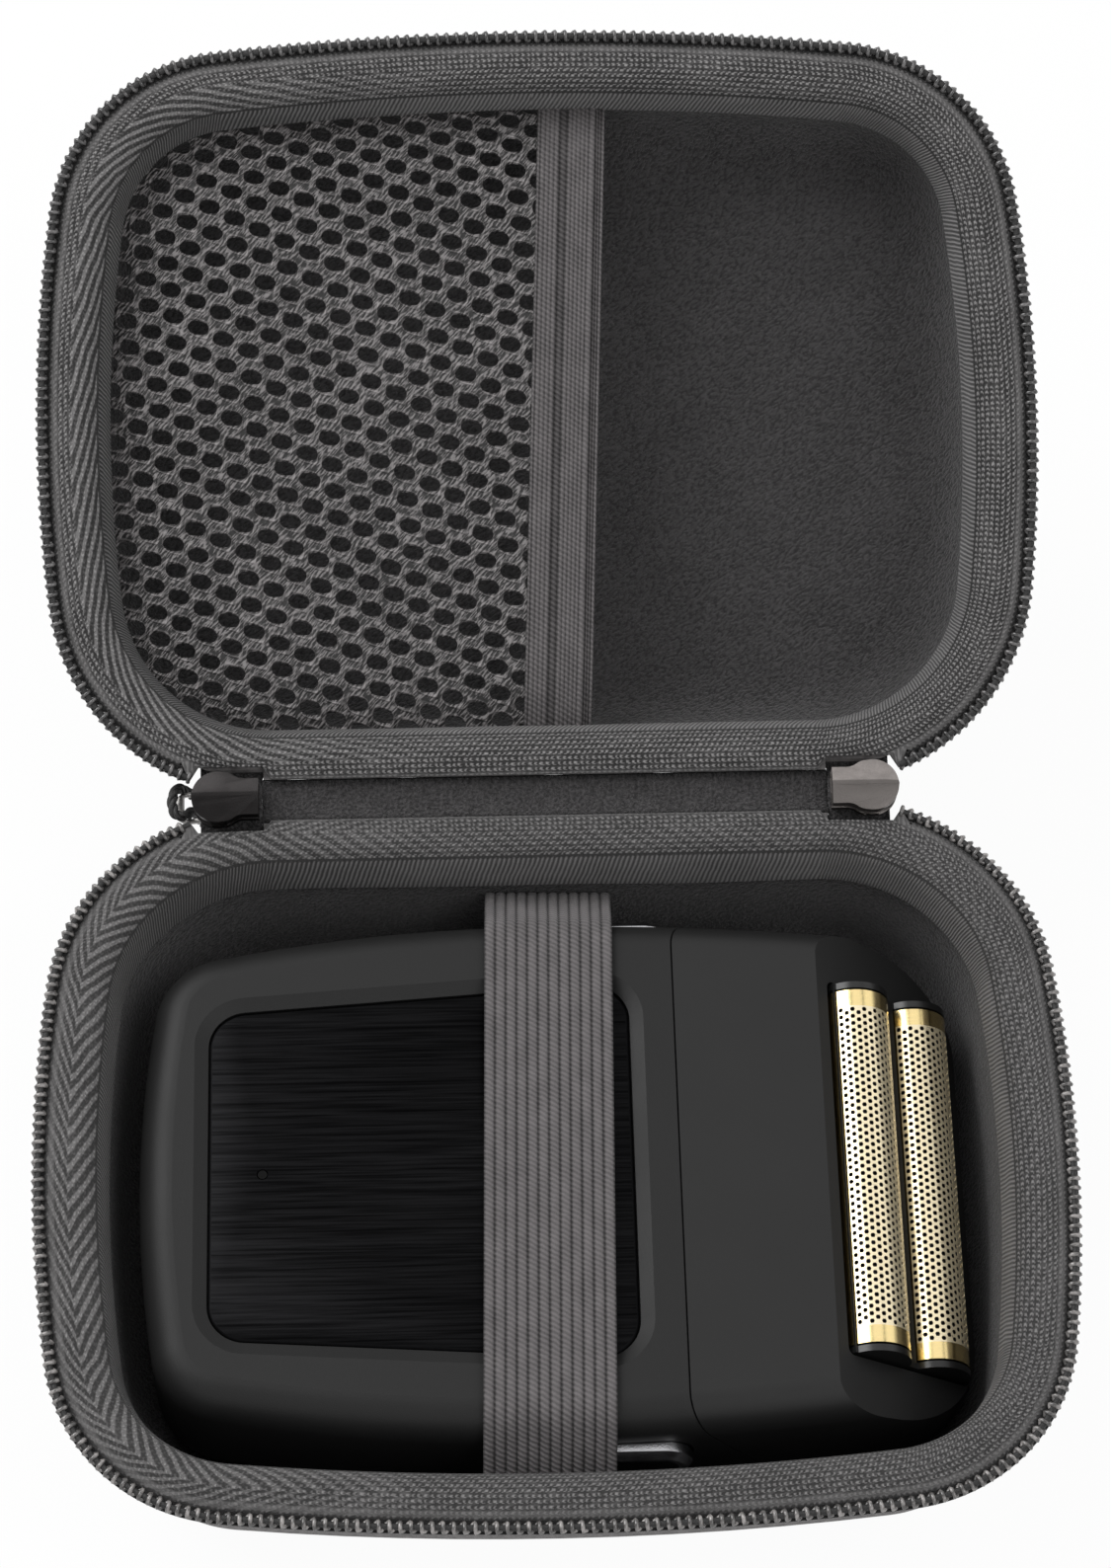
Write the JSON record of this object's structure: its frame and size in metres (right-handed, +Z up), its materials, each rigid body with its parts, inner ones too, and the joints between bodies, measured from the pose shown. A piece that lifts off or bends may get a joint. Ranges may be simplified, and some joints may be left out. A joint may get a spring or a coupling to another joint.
{
  "type": "electric shaver hard case",
  "caption": "Oval zip-round hard case lying open, with a mesh lid pocket and a foil shaver held under an elastic strap in its base.",
  "frame": {"origin": "centre of the flat underside that the base rests on", "axes": "+X across the case towards the shaver's head, +Y from the base's front to the hinge and lid, +Z up out of the base"},
  "size_m": [0.1358, 0.199, 0.0792],
  "materials": {
    "shell_cloth": "woven cloth over moulded foam, near black",
    "lining_felt": "short-pile felt, black",
    "tape_twill": "herringbone twill tape, dark grey",
    "coil_nylon": "coiled nylon teeth, black with a soft shine",
    "hinge_cloth": "folded twill strip, near black",
    "pocket_mesh": "open knitted mesh, mid grey",
    "band_elastic": "ribbed elastic, mid grey",
    "strap_elastic": "ribbed elastic webbing, mid grey",
    "slider_dark": "gunmetal lacquer, worn bright at the nose",
    "slider_warm": "warm grey lacquer over zinc",
    "pull_metal": "gunmetal lacquer",
    "cord_black": "twisted black cord",
    "grip_rubber": "moulded matt black",
    "shaver_plastic": "fine matt black",
    "plate_brushed": "brushed black",
    "lamp_clear": "clear lens",
    "button_chrome": "bright chrome",
    "button_black": "gloss black",
    "head_gloss": "gloss black",
    "foil_gold": "thin gold-coloured perforated foil",
    "steel": "ground steel",
    "drive_plastic": "white acetal",
    "cell_sleeve": "green shrink sleeve",
    "board_green": "green laminate",
    "socket_plastic": "black"
  },
  "bodies": {
    "base": {"base_shell": "shell_cloth", "base_lining": "lining_felt", "base_zip_tape": "tape_twill", "base_zip_coil": "coil_nylon", "hinge_strip": "hinge_cloth", "hinge_lining": "hinge_cloth", "shaver_strap": "strap_elastic"},
    "lid": {"lid_shell": "shell_cloth", "lid_lining": "lining_felt", "lid_zip_tape": "tape_twill", "lid_zip_coil": "coil_nylon", "mesh_pocket": "pocket_mesh", "mesh_band": "band_elastic"},
    "left_slider": {"left_slider": "slider_dark"},
    "right_slider": {"right_slider": "slider_warm"},
    "left_pull": {"left_pull": "pull_metal", "left_pull_cord": "cord_black", "left_pull_grip": "grip_rubber"},
    "right_pull": {"right_pull": "pull_metal"},
    "shaver": {"shaver_front_shell": "shaver_plastic", "shaver_back_shell": "shaver_plastic", "housing_screws": "steel", "face_plate": "plate_brushed", "lamp_lens": "lamp_clear", "power_spring": "steel", "release_spring_rear": "steel", "release_spring_front": "steel", "motor": "steel", "battery": "cell_sleeve", "circuit_board": "board_green", "charge_socket": "socket_plastic"},
    "power_button": {"power_button": "button_black"},
    "release_button_rear": {"release_button_rear": "button_chrome"},
    "release_button_front": {"release_button_front": "button_chrome"},
    "head": {"head_frame": "head_gloss", "foil_cassette": "socket_plastic"},
    "foil_1": {"foil_1": "foil_gold"},
    "foil_2": {"foil_2": "foil_gold"},
    "cutter_1": {"cutter_1": "steel"},
    "cutter_2": {"cutter_2": "steel"},
    "drive_yoke": {"drive_yoke": "drive_plastic"}
  },
  "joints": [
    {"name": "lid_hinge", "type": "hinge", "parent": "base", "child": "lid", "pos_m": [0, 0.052, 0.034], "axis": [-1, 0, 0], "range_deg": [-154, 0], "deforming": ["hinge_strip", "hinge_lining"]},
    {"name": "left_slider_turn", "type": "hinge", "parent": "base", "child": "left_slider", "pos_m": [0, 0.052, 0.034], "axis": [-1, 0, 0], "range_deg": [-77, 0]},
    {"name": "right_slider_turn", "type": "hinge", "parent": "base", "child": "right_slider", "pos_m": [0, 0.052, 0.034], "axis": [-1, 0, 0], "range_deg": [-77, 0]},
    {"name": "left_pull_swing", "type": "hinge", "parent": "left_slider", "child": "left_pull", "pos_m": [-0.0441, 0.05261, 0.03137], "axis": [0, 0.9744, 0.225], "range_deg": [-60, 10]},
    {"name": "right_pull_swing", "type": "hinge", "parent": "right_slider", "child": "right_pull", "pos_m": [0.0441, 0.05261, 0.03137], "axis": [0, 0.9744, 0.225], "range_deg": [-80, 68]},
    {"name": "shaver_lift", "type": "slide", "parent": "base", "child": "shaver", "axis": [0, 0, 1], "range_m": [0, 0.045], "deforming": ["shaver_strap"]},
    {"name": "power_press", "type": "slide", "parent": "shaver", "child": "power_button", "axis": [0, 0, -1], "range_m": [0, 0.0006], "stiffness_N_per_m": 800, "springref_m": -0.0004, "deforming": ["power_spring"]},
    {"name": "release_rear_press", "type": "slide", "parent": "shaver", "child": "release_button_rear", "axis": [0, -1, 0], "range_m": [0, 0.001], "stiffness_N_per_m": 800, "springref_m": -0.0004, "deforming": ["release_spring_rear"]},
    {"name": "release_front_press", "type": "slide", "parent": "shaver", "child": "release_button_front", "axis": [0, 1, 0], "range_m": [0, 0.001], "stiffness_N_per_m": 800, "springref_m": -0.0004, "deforming": ["release_spring_front"]},
    {"name": "head_pull_off", "type": "slide", "parent": "shaver", "child": "head", "axis": [0.6157, 0, 0.788], "range_m": [0, 0.0025]},
    {"name": "foil_1_float", "type": "slide", "parent": "head", "child": "foil_1", "axis": [-0.6157, 0, -0.788], "range_m": [0, 0.0006], "stiffness_N_per_m": 600, "springref_m": -0.0003},
    {"name": "foil_2_float", "type": "slide", "parent": "head", "child": "foil_2", "axis": [-0.6157, 0, -0.788], "range_m": [0, 0.0006], "stiffness_N_per_m": 600, "springref_m": -0.0003},
    {"name": "cutter_1_slide", "type": "slide", "parent": "foil_1", "child": "cutter_1", "axis": [0, 1, 0], "range_m": [-0.001, 0.001]},
    {"name": "cutter_2_slide", "type": "slide", "parent": "foil_2", "child": "cutter_2", "axis": [0, 1, 0], "range_m": [-0.001, 0.001]},
    {"name": "yoke_slide", "type": "slide", "parent": "shaver", "child": "drive_yoke", "axis": [0, 1, 0], "range_m": [-0.001, 0.001]}
  ],
  "couplings": [
    {"joint": "left_slider_turn", "follows": "lid_hinge", "ratio": 0.5},
    {"joint": "right_slider_turn", "follows": "lid_hinge", "ratio": 0.5},
    {"joint": "cutter_2_slide", "follows": "cutter_1_slide", "ratio": 1},
    {"joint": "yoke_slide", "follows": "cutter_1_slide", "ratio": 1}
  ]
}
